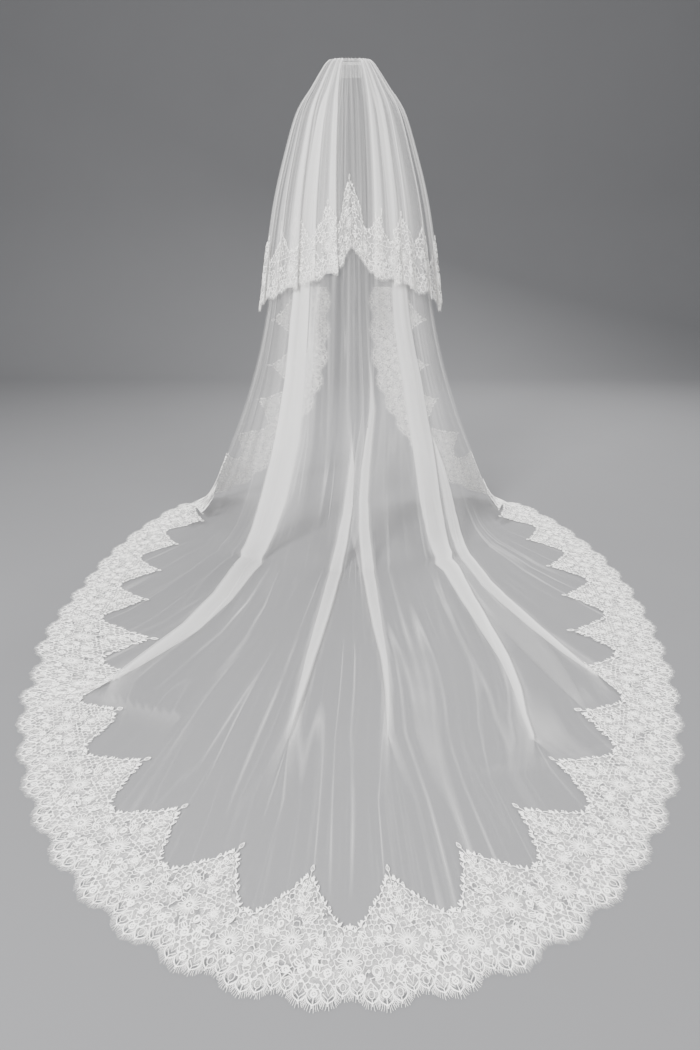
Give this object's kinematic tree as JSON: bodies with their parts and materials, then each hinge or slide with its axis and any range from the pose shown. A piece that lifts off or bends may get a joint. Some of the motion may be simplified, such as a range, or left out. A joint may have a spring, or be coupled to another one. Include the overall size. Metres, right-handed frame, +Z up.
{
  "type": "two-tier bridal veil",
  "caption": "Worn two-tier bridal veil of sheer tulle on a hair comb: short upper tier, cathedral train, and scalloped floral lace borders.",
  "frame": {"origin": "middle of the comb's top edge, on the crown of the wearer's head, 1.65 m above the floor that the train lies on", "axes": "+Z up; the veil's back and its train run towards -Y and the front opening faces +Y; +X is the wearer's right seen from behind"},
  "size_m": [1.8554, 2.3865, 1.6552],
  "materials": {
    "tulle": "sheer fine net, soft white",
    "lace": "corded floral lace, warm white",
    "comb_plastic": "clear plastic, slightly milky"
  },
  "bodies": {
    "root": {"comb": "comb_plastic", "long_tier_tulle": "tulle", "long_tier_lace_border": "lace", "short_tier_tulle": "tulle", "short_tier_lace_border": "lace"}
  },
  "joints": []
}
